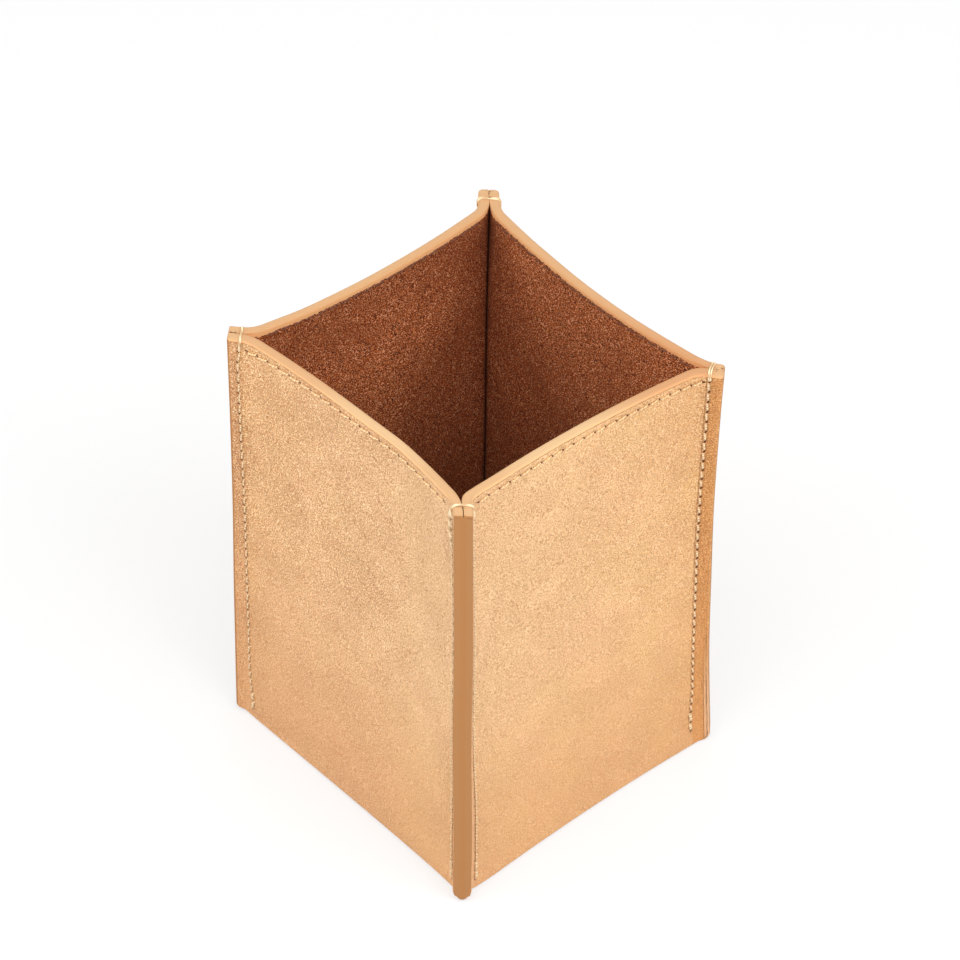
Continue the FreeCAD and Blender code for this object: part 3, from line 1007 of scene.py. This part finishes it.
def leather_grain(bench, place, cell, wrinkle):
    """Pebbled grain of smooth natural leather: height, and how deep each place lies in a furrow."""
    wobble = bench.noise(place, 900.0, output="Color")
    shift = bench.value("ShaderNodeVectorMath", {0: wobble, 1: (0.5, 0.5, 0.5)}, operation="SUBTRACT")
    shift = bench.value("ShaderNodeVectorMath", {0: shift, "Scale": 0.0009}, operation="SCALE")
    moved = bench.value("ShaderNodeVectorMath", {0: place, 1: shift}, operation="ADD")
    cells = bench.value("ShaderNodeTexVoronoi", {"Vector": moved, "Scale": PER_METRE / cell}, "Distance",
                        feature="DISTANCE_TO_EDGE")
    pebble = cells.step(0.0, 0.28)
    patchy = bench.noise(place, 95.0).step(0.36, 0.60) * 0.35 + 0.65
    folds = bench.noise(bench.stretch(place, 1.0, 1.0, 0.22), 520.0, 3.0, 0.6, 0.6)
    crease = (1.0 - abs(folds - 0.5).step(0.0, 0.035)) * wrinkle
    height = pebble * patchy + bench.noise(moved, 3300.0, 2.0, 0.6) * 1.2 - crease * 0.9
    return height, ((1.0 - pebble) * patchy).most(crease)


def painted_edge(bench, place, distance, width, ragged):
    """Painted edge: a mask that ends at a distance from the sheet's edges, and the creased line there."""
    rough = (bench.noise(place, 1400.0, 3.0, 0.6) - 0.5) * ragged
    past = distance + rough - width
    return past.step(0.04, -0.04), abs(past - 0.07).step(0.13, 0.02)


# ---- materials

RIM_PAINT = (0.76, 0.60, 0.43)
# the rim paint with a painted highlight, near the front seam
FRONT_HIGHLIGHT_PAINT = (0.785, 0.65, 0.485)
# painted light: the same paint, lighter where it turns down off the rim, which gets less light than the top
LIT_WRAP_PAINT = (0.955, 0.735, 0.515)
SIDE_PAINT = (0.665, 0.462, 0.272)
PAINT_TINT = (0.962, 0.895, 0.86)
# painted shade inside the awl slits
HOLE_SHADE = (0.38, 0.17, 0.02)


def lay(base, *layers):
    """A colour with others laid over it in turn, each by an amount."""
    for layer in layers:
        base = base.mix(*layer)
    return base


def paint_edges(base, x, y, from_side, from_rim, rim_coat, side_coat):
    """Paint over a sheet's colour: painted light where it wraps round the rim, a painted highlight in front,
    deeper to the right.
    """
    diagonal = x + y
    front_highlight = diagonal.step(-0.061, -0.047, 0.0, 0.8) * diagonal.step(-0.018, -0.034)
    paint = x.bench.blend(front_highlight, RIM_PAINT, FRONT_HIGHLIGHT_PAINT).mix(from_rim.step(0.05, 0.75), LIT_WRAP_PAINT)
    deep = diagonal.step(-0.034, -0.008) * diagonal.step(0.040, -0.002, 0.35, 1.0)
    deep = deep * from_side.step(1.0, 4.0) * x.step(-0.01, 0.02, 0.35, 1.0)
    paint = paint.mix(deep, PAINT_TINT, "MULTIPLY")
    base = base.mix(side_coat, SIDE_PAINT)
    return base.mix(rim_coat * (from_side - from_rim).step(-0.15, 0.05), paint)


def leather_material():
    """Undyed leather with a pebbled grain, painted edges with a creased line, and awl slits."""
    bench = Surface("natural_leather")
    place = bench.place()
    x, y = bench.parts(place)
    _, up = bench.plan("plan", 1, PER_METRE)
    from_side, from_rim = bench.plan("border", PER_METRE, PER_METRE)
    hem_number, hem_up = bench.plan("hem", 1, PER_METRE)
    seam_number, across = bench.plan("seam", 1, PER_METRE)
    hem_last, seam_last = bench.plan("last")
    east, north = x.step(-0.01, 0.01), y.step(-0.01, 0.01)
    west = (x - y).step(-0.01, -0.03)
    diagonal, flange = x + y, across.step(-0.2, -0.6)

    wrinkle = from_side.step(22.0, 3.0) * bench.noise(place, 38.0).step(0.42, 0.6)
    grain, furrow = leather_grain(bench, place, 0.62, wrinkle)
    rim_coat, rim_crease = painted_edge(bench, place, from_rim, 0.72, 0.12)
    side_width = north * (1.0 - east) * 0.26 + 0.14
    side_coat, _ = painted_edge(bench, place, from_side, side_width, 0.06)
    ends = up.step(38.0, 9.0) * east
    line_width = up.step(0.0, 100.0, 1.35, 0.6)
    pale_tip_band, line_crease = painted_edge(bench, place, from_side, line_width, 0.10)
    crease = rim_crease.most(line_crease * ends)
    coat = rim_coat.most(side_coat)
    hem = slit_row(bench, hem_number, hem_last, hem_up, -0.5, 0.50, 0.20)
    seam = slit_row(bench, seam_number, seam_last, across + 0.1, 0.4, east * 0.14 + 0.32, east * 0.08 + 0.15)
    slit, dent, groove = hem[0].most(seam[0]), hem[1].most(seam[1]), (hem[2] * 0.5).most(seam[2])

    tone = bench.noise(place, 70.0, 3.0).step(0.36, 0.64)
    pore = bench.noise(place, 3000.0, 0.0).step(0.50, 0.64)
    glint = bench.noise(bench.stretch(place, 1.0, 1.0, -1.0), 3000.0, 0.0).step(0.50, 0.64)
    coarse = (west * 0.4 + 1.0) * up.step(10.0, 80.0, 0.30, 0.72)
    # painted highlight: the leather is paler near the front seam, higher up the walls
    front = diagonal.step(-0.015, -0.072) * up.step(10.0, 75.0)
    # painted shade: a dark line beside the thread of the right-hand seams
    seam_side_shade = abs(across - 0.60).step(0.20, 0.04) * east * up.step(30.0, 80.0, 0.1, 0.6)
    # painted shade on the seam flanges, deeper and warmer on the right-hand ones
    low_flange_shade = bench.blend(east, (0.985, 0.965, 0.97), (0.935, 0.85, 0.75))
    high_flange_shade = bench.blend(east, (0.963, 0.945, 0.955), (0.927, 0.848, 0.745))

    base = bench.blend(tone, (0.906, 0.722, 0.497), (0.915, 0.712, 0.511))
    base = lay(
        base,
        # painted highlight near the front seam
        (front * 0.55, (0.93, 0.773, 0.597)),
        (diagonal.step(-0.030, -0.002, 0.0, 0.5), (0.895, 0.685, 0.44)),
        (up.step(62.0, 8.0, 0.0, 0.62) * (1.0 - flange), (0.83, 0.60, 0.39)),
        # painted shade on the left wall, which is also a little pinker
        (west, (0.983, 0.963, 0.972), "MULTIPLY"),
        (pore * coarse, (0.70, 0.48, 0.30)),
        (glint * coarse, (1.0, 0.87, 0.68)),
        (furrow * (coarse * 0.6), (0.72, 0.50, 0.31)),
        # painted shade on the seam flanges
        (flange, bench.blend(up.step(25.0, 95.0), low_flange_shade, high_flange_shade), "MULTIPLY"),
        # paler along the flange tips of the right-hand seams, near the foot
        (pale_tip_band * ends * 0.6, (0.93, 0.76, 0.60)),
        # painted shade in the shallow grooves along the stitch rows
        (groove * (east * 0.12 + 0.10), (0.62, 0.42, 0.26)),
        (seam_side_shade, (0.60, 0.38, 0.21)),
    )
    base = paint_edges(base, x, y, from_side, from_rim, rim_coat, side_coat)
    base = base.mix(crease * 0.6, (0.55, 0.34, 0.19))
    # painted shade in the dent round each slit, and darker still inside the slit
    base = base.mix(dent * 0.3, (0.58, 0.37, 0.21)).mix(slit, HOLE_SHADE)
    height = (grain - 1.3) * (1.0 - coat) - crease - slit * 1.2 - dent * 0.9 - groove * 0.7
    return bench.finish({
        "Base Color": base, "Roughness": coat.step(0.0, 1.0, 0.52, 0.40), "Specular IOR Level": 0.25,
    }, bump=(height, 0.7, 0.00018))


def suede_material():
    """Brown suede with a short brushed nap; its cut edges are painted like the leather's."""
    bench = Surface("brown_suede")
    place = bench.place()
    x, y = bench.parts(place)
    from_side, from_rim = bench.plan("border", PER_METRE, PER_METRE)
    from_fold, _ = bench.plan("fold", PER_METRE)
    north, east = y.step(0.030, 0.034), x.step(0.030, 0.034)
    wrap = (north * 0.2 + 1.38 + east * -0.2) * from_fold.step(-0.8, 2.6, 0.15, 1.0)
    rim_coat, rim_crease = painted_edge(bench, place, from_rim, wrap, 1.5)
    side_coat, _ = painted_edge(bench, place, from_side, 0.4, 0.1)
    coat = rim_coat.most(side_coat)

    speck = bench.noise(bench.stretch(place, 1.0, -1.0, 1.0), 3000.0, 0.0)
    brushed = bench.noise(bench.stretch(place, 1.0, 1.0, 0.6), 70.0, 3.0, 0.55)
    marks = bench.noise(bench.stretch(place, 1.0, 1.0, 1.5), 26.0, 2.0, 0.5, 0.5)
    nap = bench.noise(place, 3600.0, 0.0) * 0.92 + bench.noise(place, 1300.0, 2.0, 0.6) * 0.08
    # painted shade: darker under the rim on the back wall, and deep down in the cup
    inner_shade = (north * from_rim.step(24.0, 5.0, 0.0, 0.3)).most(from_rim.step(40.0, 64.0, 0.0, 0.2))

    base = bench.blend(nap.step(0.42, 0.58), (0.30, 0.12, 0.045), (0.765, 0.42, 0.228))
    base = lay(
        base,
        (speck.step(0.58, 0.70, 0.0, 0.85), (1.0, 0.72, 0.53)),
        (brushed.step(0.40, 0.66, 0.0, 0.25), (0.46, 0.22, 0.11)),
        (marks.step(0.46, 0.64, 0.0, 0.2), (0.50, 0.24, 0.12)),
        (inner_shade, (0.39, 0.18, 0.09)),
        # painted shade in the crevice where two linings meet in a corner
        (from_fold.step(1.9, 0.2, 0.0, 0.8), (0.17, 0.085, 0.05)),
        (rim_crease * 0.5, (0.24, 0.11, 0.055)),
    )
    base = paint_edges(base, x, y, from_side, from_rim, rim_coat, side_coat)
    return bench.finish({
        "Base Color": base, "Roughness": coat.step(0.0, 1.0, 0.92, 0.40), "Specular IOR Level": 0.15,
        "Sheen Weight": 0.12, "Sheen Roughness": 0.5, "Sheen Tint": colour(0.75, 0.45, 0.32),
    }, bump=((nap - 0.5) * (1.0 - coat), 0.8, 0.00022))


def thread_material(name, light, dark):
    """Waxed sewing thread with its plies twisted round each other."""
    bench = Surface(name)
    along, around = bench.plan("UVMap")
    fibre = bench.noise(bench.place(), 5200.0, 2.0, 0.6)
    twist = bench.maths("SINE", (around + along * 4.0) * 6.2832) * 0.5 + 0.5
    # the darker colour between the twisted plies is painted shade; the fibre flecks are the thread's own
    base = bench.blend((fibre * 0.5 + twist * 0.5).step(0.2, 0.75), dark, light)
    return bench.finish({"Base Color": base, "Roughness": 0.6}, bump=(twist + fibre * 0.3, 0.6, 0.00008))


def board_material():
    """Grey bookbinder's board with flecks of fibre."""
    bench = Surface("grey_board")
    place = bench.place()
    fibre = bench.noise(place, 1100.0, 4.0, 0.7)
    fleck = bench.noise(bench.stretch(place, 1.0, 0.3, 1.0), 2300.0, 2.0, 0.6)
    base = bench.blend(fibre.step(0.3, 0.7), (0.55, 0.54, 0.51), (0.68, 0.67, 0.63))
    base = base.mix(fleck.step(0.62, 0.7, 0.0, 0.6), (0.38, 0.36, 0.33))
    return bench.finish({"Base Color": base, "Roughness": 0.9}, bump=(fibre, 0.4, 0.00015))


# ---- the cup

def give(o, material):
    o.data.materials.clear()
    o.data.materials.append(material)


def install(o, material, node):
    """Gives a finished piece its material, and puts it in the place of a node of the assembly."""
    give(o, material)
    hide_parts(node)
    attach(o, "root")


leather = leather_material()
suede = suede_material()
cream = thread_material("cream_thread", (0.93, 0.84, 0.69), (0.76, 0.62, 0.45))
fine_cream = thread_material("fine_cream_thread", (0.97, 0.85, 0.66), (0.84, 0.66, 0.46))
brown = thread_material("brown_thread", (0.48, 0.26, 0.15), (0.28, 0.14, 0.08))

install(make_shell(), leather, "leather_shell")
for wall in TURN:
    install(make_lining(wall), suede, f"wall_lining_{wall}")
install(make_base_lining(), suede, "base_lining")

rim_stitches = {wall: model_stitch(radius) for wall, radius in HEM_THREAD.items()}
inner_stitch = model_stitch(BOBBIN_THREAD)
corner_stitches = {corner: model_stitch(radius) for corner, radius in SEAM_THREAD.items()}
for wall in TURN:
    needle = sew_rim(wall, rim_stitches[wall], 0.0, f"needle_thread_{wall}")
    install(needle, fine_cream, f"hem_thread_{wall}")
    bobbin = sew_rim(wall, inner_stitch, WALL, f"bobbin_thread_{wall}")
    install(bobbin, brown, f"hem_bobbin_{wall}")
for corner in LOOPS:
    seam = sew_corner(corner, corner_stitches[corner])
    install(seam, cream, f"seam_thread_{corner}")
for model in (*rim_stitches.values(), inner_stitch, *corner_stitches.values()):
    bpy.data.objects.remove(model)

give(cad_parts["base_board"], board_material())


# ---- floor, light and camera

def seen_directly(bench):
    """1 for the camera and for mirror images, 0 where a thing only lights others."""
    path = bench.node("ShaderNodeLightPath").outputs
    return Value(bench, path["Is Camera Ray"]).most(Value(bench, path["Is Glossy Ray"]))


def make_floor():
    """Pale floor with a soft glow, which is darker for the light that it throws back than it looks."""
    bpy.ops.object.select_all(action="DESELECT")
    bpy.ops.mesh.primitive_plane_add(size=FLOOR_SIZE, location=(0, 0, -FLOOR_DROP))
    floor, bench = named("studio_floor"), Surface("studio_floor")
    seen = seen_directly(bench)
    give(floor, bench.finish({
        "Base Color": seen * (FLOOR_SEEN - FLOOR_LIGHT) + FLOOR_LIGHT, "Roughness": 0.9,
        "Specular IOR Level": 0.0, "Emission Color": (1, 1, 1, 1), "Emission Strength": seen * FLOOR_GLOW,
    }))


def make_world():
    """White backdrop that lights the cup less than it looks."""
    world = bpy.data.worlds.new("studio")
    bpy.context.scene.world = world
    world.use_nodes = True
    world.node_tree.nodes.clear()
    bench = Bench(world.node_tree)
    strength = seen_directly(bench) * (1.0 - AMBIENT) + AMBIENT
    light = bench.value("ShaderNodeBackground", {"Color": (1, 1, 1, 1), "Strength": strength})
    bench.node("ShaderNodeOutputWorld", {"Surface": light})


def way_back(azimuth, elevation):
    """Direction from the cup towards a place round it, for angles in radians."""
    return Vector((
        sin(azimuth) * cos(elevation), -cos(azimuth) * cos(elevation), sin(elevation)))


def softbox(name, aside, elevation, power):
    """Area light that faces the cup, at an azimuth counted from the camera's."""
    back = way_back(radians(CAMERA_AZIMUTH + aside), radians(elevation))
    light = bpy.data.lights.new(name, "AREA")
    light.shape = "RECTANGLE"
    light.size, light.size_y, light.energy = SOFTBOX_SIZE, SOFTBOX_SIZE, power
    lamp = bpy.data.objects.new(name, light)
    bpy.context.scene.collection.objects.link(lamp)
    lamp.location = Vector((0, 0, SOFTBOX_AIM)) + back * SOFTBOX_DISTANCE
    lamp.rotation_mode = "QUATERNION"
    lamp.rotation_quaternion = back.to_track_quat("Z", "Y")


def make_camera():
    azimuth, elevation, roll = (radians(v) for v in (CAMERA_AZIMUTH, CAMERA_ELEVATION, CAMERA_ROLL))
    back = way_back(azimuth, elevation)
    right = Vector((cos(azimuth), sin(azimuth), 0))
    right = right * cos(roll) + back.cross(right) * sin(roll)
    data = bpy.data.cameras.new("camera")
    data.lens, data.sensor_width = CAMERA_LENS, 36
    data.shift_x, data.shift_y = CAMERA_SHIFT
    data.clip_start, data.clip_end = 0.05, 20
    camera = bpy.data.objects.new("camera", data)
    bpy.context.scene.collection.objects.link(camera)
    place = Matrix.Translation(Vector((0, 0, CAMERA_AIM)) + back * CAMERA_DISTANCE)
    camera.matrix_world = place @ Matrix((right, back.cross(right), back)).transposed().to_4x4()
    bpy.context.scene.camera = camera


make_floor()
make_world()
for softbox_settings in SOFTBOXES:
    softbox(*softbox_settings)
make_camera()

bpy.context.scene.view_settings.view_transform = "Standard"
